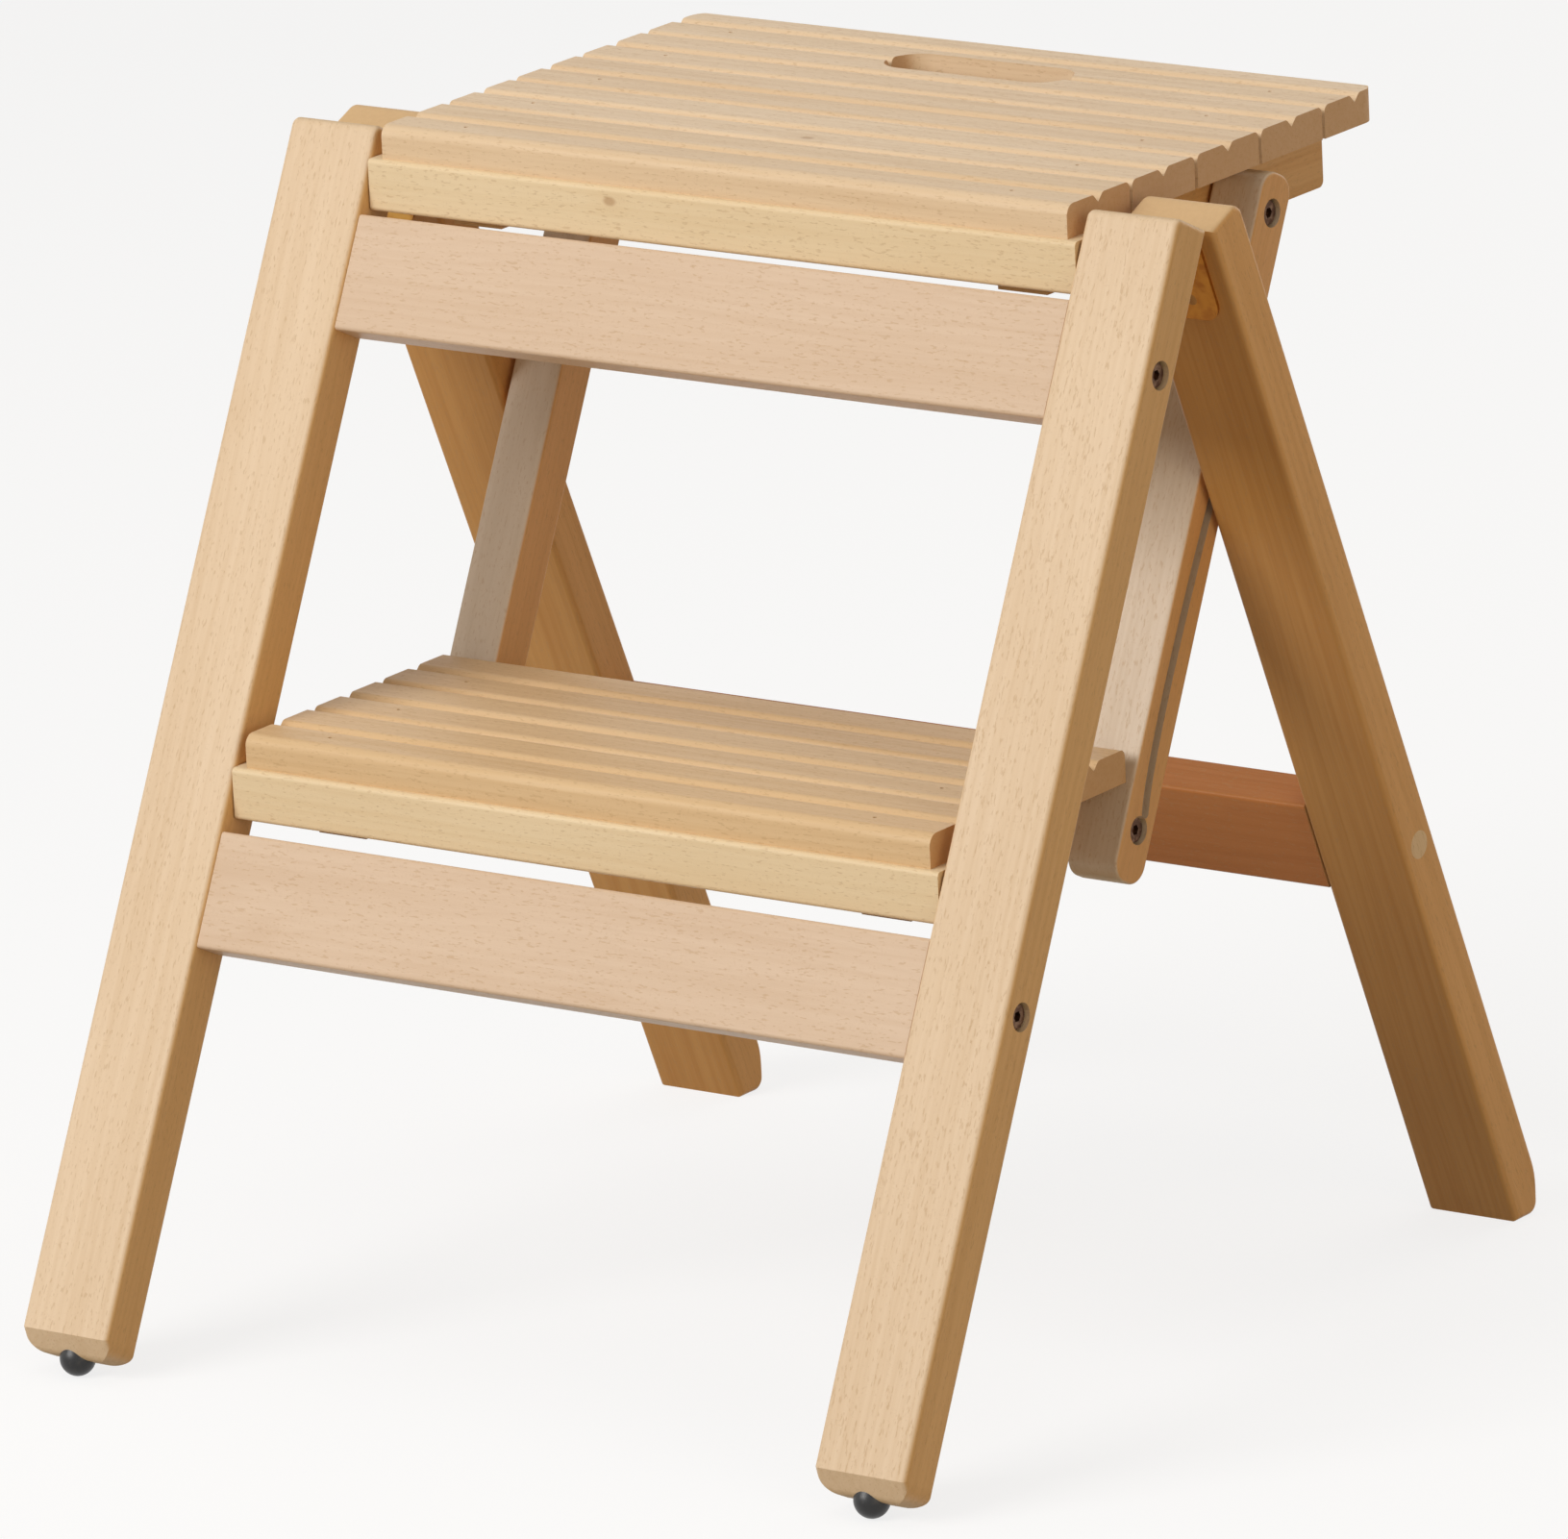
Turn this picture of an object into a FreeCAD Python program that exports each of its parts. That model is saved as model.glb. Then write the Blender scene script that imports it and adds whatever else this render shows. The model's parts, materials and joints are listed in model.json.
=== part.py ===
import FreeCAD, Part
import math
import os

# A folding two-step stool in beech. Lengths are in millimetres, angles in degrees.
# X runs across the stool, Y from the front toes to the rear heels, and Z up from the floor.

# Overall sizes
width = 440.0
seat_height = 482.0
step_rise = 258.0
front_lean = 26.3
rear_lean = 22.9

# Legs
leg_width = 44.0
leg_depth = 22.0
front_leg_drop = 1.3
rear_leg_rise = 1.5
leg_edge_round = 2.5
front_leg_top_round = 4.0
rear_leg_top_round = 6.0
toe_bevel_high = 8.5
toe_bevel_deep = 8.0
toe_round = 6.0
toe_corner = 9.0
heel_length = 16.5
heel_round = 5.5
heel_back_round = 30.0
seat_corner = 10.0

# Cross rails. The gaps lie between a rail's top face and the apron above it, and the rear
# rail's lower edge is measured up its leg from the floor.
rail_height = 49.0
rail_thick = 18.0
rail_setback = 1.5
upper_rail_gap = 2.6
lower_rail_gap = 6.0
rear_rail_height = 43.0
rear_rail_thick = 20.0
rear_rail_low = 170.2
rail_edge_round = 1.5

# Seat and step decks
pivot_below_top = 23.5
pivot_behind_edge = 7.1
deck_side_gap = 6.0
board_thick = 14.0
board_gap = 2.0
board_edge_round = 3.0
board_nose_round = 5.0
vee_width = 7.0
vee_depth = 3.6
vee_edge_round = 3.0
step_boards = 3
seat_full_boards = 4
seat_rear_board = 40.3
apron_depth = 20.0
apron_height = 22.0
apron_side_gap = 0.6
apron_proud = 3.1
apron_round = 2.0
batten_thick = 24.0
batten_height = 29.0
batten_rear_inset = 9.0
batten_rear_round = 3.0
step_batten_past_bolt = 13.0
hand_hole_length = 90.0
hand_hole_width = 27.0

# Links between seat and step
link_width = 24.5
link_depth = 22.0
link_leg_gap = 2.5
link_batten_gap = 1.5
link_forward = 135.0
link_down = 11.0
link_head = 16.5
link_foot = 22.0
link_end_round = 9.0
link_edge_round = 1.5
link_board_gap = 0.5

# Guide pin and groove
pin_radius = 2.1
pin_in_leg = 14.0
pin_leg_inset = 15.0
groove_depth = 8.0
groove_clear = 0.4
groove_back = 1.9
pin_tip_gap = 0.6

# Pivots and fasteners
pivot_radius = 4.0
pivot_clear = 0.08
pivot_in_leg = 18.0
pivot_in_apron = 20.0
pivot_end_clear = 1.0
bolt_radius = 3.0
bolt_head_radius = 5.0
bolt_head_height = 4.0
hex_key = 4.0
hex_key_depth = 2.4
sink_radius = 6.0
sink_depth = 6.0
bolt_reach = 72.0
bolt_end_clear = 1.0
nut_radius = 5.0
nut_length = 13.0
nut_sunk = 0.5
link_nut_across = 10.0
link_nut_thick = 5.0
washer_radius = 8.0
washer_thick = 1.2
head_clear = 0.3
plug_length = 5.0
brad_radius = 0.9
brad_length = 26.0
brad_sunk = 0.4
brad_from_edge = 12.3

# Leg hinges
hinge_drop = 3.0
leaf_width = 24.0
leaf_length = 43.0
leaf_corner = 8.0
leaf_thick = 1.4
knuckle_radius = 2.8
knuckle_clear = 0.3
hinge_pin_radius = 1.5
hinge_pin_clear = 0.05
hinge_screw_radius = 1.5
hinge_screw_head = 2.8
hinge_screw_length = 13.0
hinge_screw_low = 33.0
hinge_screw_high = 14.0
hinge_from_outside = 8.0

# Rubber glides under the front toes
glide_radius = 7.5
glide_deep = 13.0
glide_sunk = 0.6
glide_neck = 3.0
glide_stem_radius = 2.5
glide_stem = 12.0

X = FreeCAD.Vector(1, 0, 0)
Y = FreeCAD.Vector(0, 1, 0)
Z = FreeCAD.Vector(0, 0, 1)
tilt_front = math.radians(front_lean)
tilt_rear = math.radians(rear_lean)
half = width / 2
inner = half - leg_width
hinge_gap = knuckle_radius + knuckle_clear


def vec(x, p):
    return FreeCAD.Vector(x, p[0], p[1])


def add(p, q):
    return (p[0] + q[0], p[1] + q[1])


def scale(p, k):
    return (p[0] * k, p[1] * k)


def turn(p, angle):
    """Turns a side-view point about the X axis, from +Y towards +Z."""
    c = math.cos(angle)
    s = math.sin(angle)
    return (p[0] * c - p[1] * s, p[0] * s + p[1] * c)


# Side-view directions of the front legs, which the links share, and of the rear legs
up_front = (math.sin(tilt_front), math.cos(tilt_front))
back_front = (math.cos(tilt_front), -math.sin(tilt_front))
down_rear = (math.sin(tilt_rear), -math.cos(tilt_rear))
back_rear = (math.cos(tilt_rear), math.sin(tilt_rear))


def front_point(along, deep):
    """A side-view point by its distance up the front leg and behind its front face."""
    return add(scale(up_front, along), scale(back_front, deep))


def front_at_height(z, deep):
    """The point of the front leg at a height, at a depth behind its front face."""
    return front_point((z + deep * up_front[0]) / up_front[1], deep)


top_line = (seat_height - front_leg_drop) / up_front[1]
hinge_along = top_line - hinge_drop
hinge_axis = front_point(hinge_along, leg_depth + hinge_gap)


def rear_point(down, deep):
    """A side-view point by its distance down the rear leg and behind the hinge axis."""
    return add(hinge_axis, add(scale(down_rear, down), scale(back_rear, deep)))


def rear_at_height(z, deep):
    """The point of the rear leg at a height, at a depth behind the hinge axis."""
    down = (hinge_axis[1] + deep * back_rear[1] - z) / -down_rear[1]
    return rear_point(down, deep)


# The four corners of the folding parallelogram
seat_pivot = front_at_height(seat_height - pivot_below_top, leg_depth / 2)
step_pivot = add(seat_pivot, scale(up_front, -step_rise))
link_offset = (link_forward, -link_down)
seat_link_pivot = add(seat_pivot, link_offset)
step_link_pivot = add(step_pivot, link_offset)

link_outer = inner - link_leg_gap
link_inner = link_outer - link_width
batten_outer = link_inner - link_batten_gap
batten_inner = batten_outer - batten_thick
deck_half = inner - deck_side_gap
apron_half = inner - apron_side_gap


def rounded_face(points, radii, place):
    """A flat face inside straight sides whose corners are rounded; place sets each point in space."""
    edges = []
    joints = []
    count = len(points)
    for i in range(count):
        before = place(points[i - 1])
        corner = place(points[i])
        after = place(points[(i + 1) % count])
        if radii[i] <= 0:
            joints.append((corner, corner, None))
            continue
        to_before = (before - corner).normalize()
        to_after = (after - corner).normalize()
        half_angle = to_before.getAngle(to_after) / 2
        reach = radii[i] / math.tan(half_angle)
        start = corner + to_before * reach
        end = corner + to_after * reach
        bisector = (to_before + to_after).normalize()
        centre = corner + bisector * (radii[i] / math.sin(half_angle))
        middle = centre - bisector * radii[i]
        joints.append((start, end, Part.Arc(start, middle, end).toShape()))
    for i in range(count):
        start, end, arc = joints[i]
        if arc is not None:
            edges.append(arc)
        following = joints[(i + 1) % count][0]
        if end.distanceToPoint(following) > 1e-6:
            edges.append(Part.LineSegment(end, following).toShape())
    return Part.Face(Part.Wire(Part.__sortEdges__(edges)))


def side_prism(points, radii, x_low, x_high):
    """A prism across the stool from an outline in the side view."""
    face = rounded_face(points, radii, lambda p: vec(x_low, p))
    return face.extrude(X * (x_high - x_low))


def rod(x_low, x_high, at, radius):
    """A round bar across the stool."""
    return Part.makeCylinder(radius, x_high - x_low, vec(x_low, at), X)


def ease(shape, radius, pick):
    """Rounds the picked edges of a shape."""
    edges = [edge for edge in shape.Edges if pick(edge)]
    return shape.makeFillet(radius, edges)


def runs_along(edge, direction, least):
    """Whether an edge is straight, lies along a direction and has at least a length."""
    if len(edge.Vertexes) < 2 or edge.Length < least:
        return False
    run = edge.Vertexes[-1].Point - edge.Vertexes[0].Point
    return abs(run.Length - edge.Length) < 1e-6 and run.cross(direction).Length < 1e-4 * edge.Length


def mirror(shape):
    return shape.mirror(FreeCAD.Vector(0, 0, 0), X)


def both(shape):
    """A piece and its mirror image on the other side, as separate solids."""
    return Part.makeCompound([shape, mirror(shape)])


def bolt(head_end, shank_end, at):
    """A socket-head bolt across the stool, from its head's outer face to the end of its shank."""
    sign = 1 if head_end > shank_end else -1
    seat_x = head_end - sign * bolt_head_height
    head = rod(min(head_end, seat_x), max(head_end, seat_x), at, bolt_head_radius)
    shank = rod(min(shank_end, seat_x), max(shank_end, seat_x), at, bolt_radius)
    socket = hexagon(head_end - sign * hex_key_depth, head_end, at, hex_key)
    return head.fuse(shank).cut(socket).removeSplitter()


def hexagon(x_from, x_to, at, across):
    """A six-sided prism across the stool, given across its flats."""
    corner = across / math.sqrt(3)
    points = []
    for i in range(6):
        angle = math.radians(60 * i)
        points.append(add(at, (corner * math.cos(angle), corner * math.sin(angle))))
    return side_prism(points, [0] * 6, min(x_from, x_to), max(x_from, x_to))


# Front frame
def rail_low(pivot, gap):
    """Where a front rail starts up the leg, with its top a gap under the apron on the pivot above it."""
    corner = (
        pivot[0] - pivot_behind_edge - apron_proud,
        pivot[1] + pivot_below_top - board_thick - apron_height,
    )
    top = corner[0] * up_front[0] + corner[1] * up_front[1] - gap
    return top - rail_height


glide_line = (glide_radius + glide_deep * up_front[0]) / up_front[1]
toe_line = glide_line - glide_sunk
upper_rail_low = rail_low(seat_pivot, upper_rail_gap)
lower_rail_low = rail_low(step_pivot, lower_rail_gap)
upper_rail_at = front_point(upper_rail_low + rail_height / 2, leg_depth / 2)
lower_rail_at = front_point(lower_rail_low + rail_height / 2, leg_depth / 2)
hinge_x = half - hinge_from_outside - leaf_width / 2
rear_floor = (hinge_axis[1] + hinge_gap * back_rear[1]) / -down_rear[1]
rear_rail_mid = rear_floor - rear_rail_low - rear_rail_height / 2
rear_rail_at = rear_point(rear_rail_mid, hinge_gap + leg_depth / 2)
front_head_x = half - sink_depth + bolt_head_height
rear_sink_depth = bolt_head_height + plug_length + head_clear
rear_head_x = half - rear_sink_depth + bolt_head_height


def hinge_screws(surface, into):
    """Two countersunk screws through one leaf; surface gives the wood's face by distance below the axis."""
    direction = vec(0, into)
    screws = []
    for down in (hinge_screw_high, hinge_screw_low):
        spot = surface(down)
        top = vec(hinge_x, add(spot, scale(into, -leaf_thick)))
        head = Part.makeCone(hinge_screw_head, hinge_screw_radius, leaf_thick, top, direction)
        shank = Part.makeCylinder(hinge_screw_radius, hinge_screw_length, vec(hinge_x, spot), direction)
        screws.append(head.fuse(shank).removeSplitter())
    return screws


def front_hinge_screws():
    return hinge_screws(lambda down: front_point(hinge_along - down, leg_depth), scale(back_front, -1))


def rear_hinge_screws():
    return hinge_screws(lambda down: rear_point(down, hinge_gap), back_rear)


def front_leg():
    """The right front leg, leaning back, with a square top and a toe bevelled at the front."""
    outline = [
        front_point(toe_line + toe_bevel_high, 0),
        front_point(toe_line, toe_bevel_deep),
        front_point(toe_line, leg_depth),
        front_point(top_line, leg_depth),
        front_point(top_line, 0),
    ]
    leg = side_prism(outline, [0, toe_round, toe_round, 0, front_leg_top_round], inner, half)
    leg = ease(leg, leg_edge_round, lambda e: runs_along(e, vec(0, up_front), step_rise))
    corners = [(inner, 0.0), (half, 0.0), (half, 2 * seat_height), (inner, 2 * seat_height)]
    board = rounded_face(
        corners,
        [toe_corner, toe_corner, 0, 0],
        lambda p: vec(p[0], front_point(toe_line + p[1], -1)),
    )
    leg = leg.common(board.extrude(vec(0, back_front) * (leg_depth + 2)))
    for at in (upper_rail_at, lower_rail_at):
        leg = leg.cut(rod(half - sink_depth, half, at, sink_radius))
        leg = leg.cut(rod(inner, half, at, bolt_radius))
    for at in (seat_pivot, step_pivot):
        leg = leg.cut(rod(inner, inner + pivot_in_leg, at, pivot_radius))
    for screw in front_hinge_screws():
        leg = leg.cut(screw)
    return leg.cut(glide())


def glide():
    """A rubber dome under the toe, with its neck and stem up in the leg."""
    up = vec(0, up_front)
    base = vec(inner + leg_width / 2, front_point(glide_line, glide_deep))
    neck = Part.makeCylinder(glide_radius, glide_neck, base, up)
    dome = Part.makeSphere(glide_radius, base, up * -1, 0, 90, 360)
    stem = Part.makeCylinder(glide_stem_radius, glide_neck + glide_stem, base, up)
    return neck.fuse(dome).fuse(stem).removeSplitter()


def barrel_nut(face_point, into, head_x):
    """A barrel nut let into a rail from its back face, crossing the end of its bolt."""
    start = add(face_point, scale(into, nut_sunk))
    middle = head_x - bolt_reach + bolt_end_clear + nut_radius
    return Part.makeCylinder(nut_radius, nut_length, vec(middle, start), vec(0, into))


def rail(corners, bolt_at, nut_face, into, head_x):
    """A flat rail between two legs, bored at both ends for its bolt and barrel nut."""
    board = side_prism(corners, [rail_edge_round] * 4, -inner, inner)
    hole = rod(head_x - bolt_reach - bolt_end_clear, inner, bolt_at, bolt_radius)
    mouth = barrel_nut(add(nut_face, scale(into, -nut_sunk)), into, head_x)
    pocket = barrel_nut(nut_face, into, head_x)
    for cutter in (hole, mouth, pocket):
        board = board.cut(cutter).cut(mirror(cutter))
    return board


def bolts_and_nuts(bolt_at, nut_face, into, head_x):
    """The bolts and barrel nuts at both ends of one rail."""
    screw = bolt(head_x, head_x - bolt_reach, bolt_at)
    nut = barrel_nut(nut_face, into, head_x).cut(screw)
    return [screw, mirror(screw)], [nut, mirror(nut)]


def front_rail_corners(low):
    deep = rail_setback + rail_thick
    return [
        front_point(low, rail_setback),
        front_point(low, deep),
        front_point(low + rail_height, deep),
        front_point(low + rail_height, rail_setback),
    ]


def front_nut_face(low):
    return front_point(low + rail_height / 2, rail_setback + rail_thick)


def hinge_leaf(plate, knuckles, others):
    """A leaf of the hinge: its plate, its own knuckles, and room for the other leaf's knuckles."""
    leaf = plate
    start = hinge_x - leaf_width / 2
    third = leaf_width / 3
    gap = knuckle_clear / 2
    for i in knuckles:
        knuckle = rod(start + i * third + gap, start + (i + 1) * third - gap, hinge_axis, knuckle_radius)
        leaf = leaf.fuse(knuckle)
    for i in others:
        low = start + i * third - gap
        high = start + (i + 1) * third + gap
        leaf = leaf.cut(rod(low, high, hinge_axis, knuckle_radius + 2 * knuckle_clear))
    return leaf


def leaf_plate(surface, outward):
    """The flat of a leaf, with rounded lower corners; surface gives the wood's face."""
    low = hinge_x - leaf_width / 2
    high = hinge_x + leaf_width / 2
    corners = [(low, leaf_length), (high, leaf_length), (high, 0.0), (low, 0.0)]
    face = rounded_face(corners, [leaf_corner, leaf_corner, 0, 0], lambda p: vec(p[0], surface(p[1])))
    return face.extrude(vec(0, outward) * leaf_thick)


def front_hinge_leaf():
    plate = leaf_plate(lambda down: front_point(hinge_along - down, leg_depth), back_front)
    leaf = hinge_leaf(plate, (0, 2), (1,))
    leaf = leaf.cut(rod(hinge_x - leaf_width, hinge_x + leaf_width, hinge_axis, hinge_pin_radius))
    for screw in front_hinge_screws():
        leaf = leaf.cut(screw)
    return leaf.removeSplitter()


def rear_hinge_leaf():
    plate = leaf_plate(lambda down: rear_point(down, hinge_gap), scale(back_rear, -1))
    leaf = hinge_leaf(plate, (1,), (0, 2))
    bore = hinge_pin_radius + hinge_pin_clear
    leaf = leaf.cut(rod(hinge_x - leaf_width, hinge_x + leaf_width, hinge_axis, bore))
    for screw in rear_hinge_screws():
        leaf = leaf.cut(screw)
    return leaf.removeSplitter()


# The fold, and the place of the guide pin
open_angle = tilt_front + tilt_rear
swing = math.hypot(link_forward, link_down)
swing_open = math.pi / 2 - tilt_front + math.atan2(link_down, link_forward)
swing_shut = math.asin((leg_depth / 2 + 2 * hinge_gap + pin_leg_inset - groove_back) / swing)
fold = swing_open - swing_shut
rear_ratio = -open_angle / fold


def crossing(p, along_p, q, along_q):
    """Where two lines in the side view cross."""
    det = along_p[0] * along_q[1] - along_p[1] * along_q[0]
    gap = (q[0] - p[0], q[1] - p[1])
    k = (gap[0] * along_q[1] - gap[1] * along_q[0]) / det
    return add(p, scale(along_p, k))


groove_line = add(step_link_pivot, scale(back_front, groove_back))
guide_pin = crossing(groove_line, up_front, rear_point(0, hinge_gap + pin_leg_inset), down_rear)


def groove_point(share):
    """Where the guide pin lies on the link, as seen on the open stool, at a share of the fold."""
    angle = fold * share
    pin_arm = (guide_pin[0] - hinge_axis[0], guide_pin[1] - hinge_axis[1])
    pin = add(hinge_axis, turn(pin_arm, rear_ratio * angle))
    link_foot = add(step_pivot, turn(link_offset, angle))
    return add(step_link_pivot, (pin[0] - link_foot[0], pin[1] - link_foot[1]))


def groove():
    """The groove that the guide pin slides in, cut to the pin's path with rounded ends."""
    stations = 9
    reach = pin_radius + groove_clear
    low_x = link_outer - groove_depth
    path = [vec(low_x, groove_point(i / (stations - 1))) for i in range(stations)]
    sides = [[], []]
    for i in range(stations):
        run = (path[min(i + 1, stations - 1)] - path[max(i - 1, 0)]).normalize()
        across = X.cross(run) * reach
        sides[0].append(path[i] + across)
        sides[1].append(path[i] - across)
    edges = []
    for side in sides:
        curve = Part.BSplineCurve()
        curve.interpolate(side)
        edges.append(curve.toShape())
    for end, beside in ((0, 1), (-1, -2)):
        tip = path[end] + (path[end] - path[beside]).normalize() * reach
        edges.append(Part.Arc(sides[0][end], tip, sides[1][end]).toShape())
    face = Part.Face(Part.Wire(Part.__sortEdges__(edges)))
    return face.extrude(X * groove_depth)


def link():
    """The right link: a slim upright with rounded ends, sunk bolt heads and the guide groove."""
    front = scale(back_front, -link_depth / 2)
    back = scale(back_front, link_depth / 2)
    low = add(step_link_pivot, scale(up_front, -link_foot))
    high = add(seat_link_pivot, scale(up_front, link_head))
    corners = [add(low, front), add(low, back), add(high, back), add(high, front)]
    bar = side_prism(corners, [link_end_round] * 4, link_inner, link_outer)
    bar = ease(bar, link_edge_round, lambda e: runs_along(e, vec(0, up_front), step_rise / 2))
    for at in (seat_link_pivot, step_link_pivot):
        bar = bar.cut(rod(link_outer - sink_depth, link_outer, at, sink_radius))
        bar = bar.cut(rod(link_inner, link_outer, at, bolt_radius + pivot_clear))
    return bar.cut(groove())


def rear_leg():
    """The right rear leg, leaning forward, with a square top, a level foot and an upright heel."""
    back = hinge_gap + leg_depth
    foot = rear_at_height(0, hinge_gap)
    heel = add(foot, (heel_length, 0))
    heel_high = (rear_at_height(0, back)[0] - heel[0]) / math.tan(tilt_rear)
    outline = [
        foot,
        heel,
        rear_at_height(heel_high, back),
        rear_point(-rear_leg_rise, back),
        rear_point(-rear_leg_rise, hinge_gap),
    ]
    leg = side_prism(outline, [0, heel_round, heel_back_round, rear_leg_top_round, 0], inner, half)
    leg = ease(leg, leg_edge_round, lambda e: runs_along(e, vec(0, down_rear), step_rise))
    leg = leg.cut(rod(half - rear_sink_depth, half, rear_rail_at, sink_radius))
    leg = leg.cut(rod(inner, half, rear_rail_at, bolt_radius))
    leg = leg.cut(rod(inner, inner + pin_in_leg, guide_pin, pin_radius))
    for screw in rear_hinge_screws():
        leg = leg.cut(screw)
    return leg


def rear_rail_corners():
    low = rear_floor - rear_rail_low
    high = low - rear_rail_height
    deep = hinge_gap + rear_rail_thick
    return [
        rear_point(low, hinge_gap),
        rear_point(low, deep),
        rear_point(high, deep),
        rear_point(high, hinge_gap),
    ]


# Seat and step
def link_front_at(height):
    """How far back the front face of the links stands at a height."""
    face = add(step_link_pivot, scale(back_front, -link_depth / 2))
    return face[0] + (height - face[1]) * math.tan(tilt_front)


step_top = step_pivot[1] + pivot_below_top
step_front = step_pivot[0] - pivot_behind_edge
step_room = link_front_at(step_top - board_thick) - link_board_gap - step_front
board_width = (step_room - (step_boards - 1) * board_gap) / step_boards
board_pitch = board_width + board_gap
seat_front = seat_pivot[0] - pivot_behind_edge
seat_rear = seat_front + seat_full_boards * board_pitch + seat_rear_board
hand_hole_y = seat_front + seat_full_boards * board_pitch - board_gap / 2


def board(front, top, wide, vee_at, front_round):
    """One deck board: rounded upper edges and a vee with soft shoulders along its face."""
    outline = [
        (front, top - board_thick),
        (front, top),
        (front + vee_at - vee_width / 2, top),
        (front + vee_at, top - vee_depth),
        (front + vee_at + vee_width / 2, top),
        (front + wide, top),
        (front + wide, top - board_thick),
    ]
    radii = [0, front_round, vee_edge_round, 0, vee_edge_round, board_edge_round, 0]
    return side_prism(outline, radii, -deck_half, deck_half)


def hand_hole():
    """The oblong hole that spans the last two seat boards."""
    reach = (hand_hole_length - hand_hole_width) / 2
    low = seat_height - 2 * board_thick
    radius = hand_hole_width / 2
    block = Part.makeBox(2 * reach, hand_hole_width, 4 * board_thick,
                         FreeCAD.Vector(-reach, hand_hole_y - radius, low))
    for side in (-1, 1):
        centre = FreeCAD.Vector(side * reach, hand_hole_y, low)
        block = block.fuse(Part.makeCylinder(radius, 4 * board_thick, centre))
    return block.removeSplitter()


def brad_spots(front, widths):
    """Where the brads go through each board into the battens."""
    spots = []
    start = front
    for wide in widths:
        spots.append(start + brad_from_edge)
        start += wide + board_gap
    return spots


def brads(front, top, widths):
    """Thin nails through the boards into both battens, punched just below the face."""
    middle = (batten_inner + batten_outer) / 2
    nails = []
    for y in brad_spots(front, widths):
        for x in (-middle, middle):
            foot = FreeCAD.Vector(x, y, top - brad_sunk - brad_length)
            nails.append(Part.makeCylinder(brad_radius, brad_length, foot))
    return nails


def brad_holes(front, top, widths):
    """The holes of the brads, open at the face."""
    holes = []
    for nail in brads(front, top, widths):
        foot = nail.BoundBox.Center - Z * brad_length / 2
        holes.append(Part.makeCylinder(brad_radius, brad_length + brad_sunk, foot))
    return holes


def deck_boards(front, top, widths):
    """The boards of a deck, from front to back, bored for their brads."""
    made = []
    start = front
    holes = brad_holes(front, top, widths)
    for wide in widths:
        front_round = board_edge_round if made else board_nose_round
        plank = board(start, top, wide, board_width / 2, front_round)
        for hole in holes:
            if start < hole.BoundBox.Center.y < start + wide:
                plank = plank.cut(hole)
        made.append(plank)
        start += wide + board_gap
    return made


def apron(front, top, pivot, holes):
    """The bar under the front board that carries the deck on its two pivot pins."""
    face = front - apron_proud
    under = top - board_thick
    corners = [(face, under - apron_height), (face + apron_depth, under - apron_height),
               (face + apron_depth, under), (face, under)]
    bar = side_prism(corners, [apron_round] * 4, -apron_half, apron_half)
    bore = rod(apron_half - pivot_in_apron, apron_half, pivot, pivot_radius + pivot_clear)
    bar = bar.cut(bore).cut(mirror(bore))
    for hole in holes:
        if hole.BoundBox.YMin < face + apron_depth:
            bar = bar.cut(hole)
    return bar


def batten(front, rear, top, link_pivot, holes):
    """The right batten under a deck, from the apron back past the link bolt."""
    start = front - apron_proud + apron_depth
    under = top - board_thick
    corners = [(start, under - batten_height), (rear, under - batten_height), (rear, under), (start, under)]
    bar = side_prism(corners, [0, batten_rear_round, 0, 0], batten_inner, batten_outer)
    bar = bar.cut(rod(batten_inner, batten_outer, link_pivot, bolt_radius))
    for hole in holes:
        if hole.BoundBox.Center.x > 0:
            bar = bar.cut(hole)
    return bar


def pivot_pin(at):
    """A steel pin let into the leg, on which the end of an apron turns."""
    return rod(apron_half - pivot_in_apron + pivot_end_clear, inner + pivot_in_leg, at, pivot_radius)


def link_fasteners(at):
    """The bolt, washer and nut that hang the right link on a batten."""
    head_x = link_outer - sink_depth + head_clear + bolt_head_height
    end_x = batten_inner - link_nut_thick
    screw = bolt(head_x, end_x, at)
    washer = rod(batten_outer, batten_outer + washer_thick, at, washer_radius).cut(screw)
    nut = hexagon(end_x, batten_inner, at, link_nut_across).cut(screw)
    return screw, washer, nut


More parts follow.
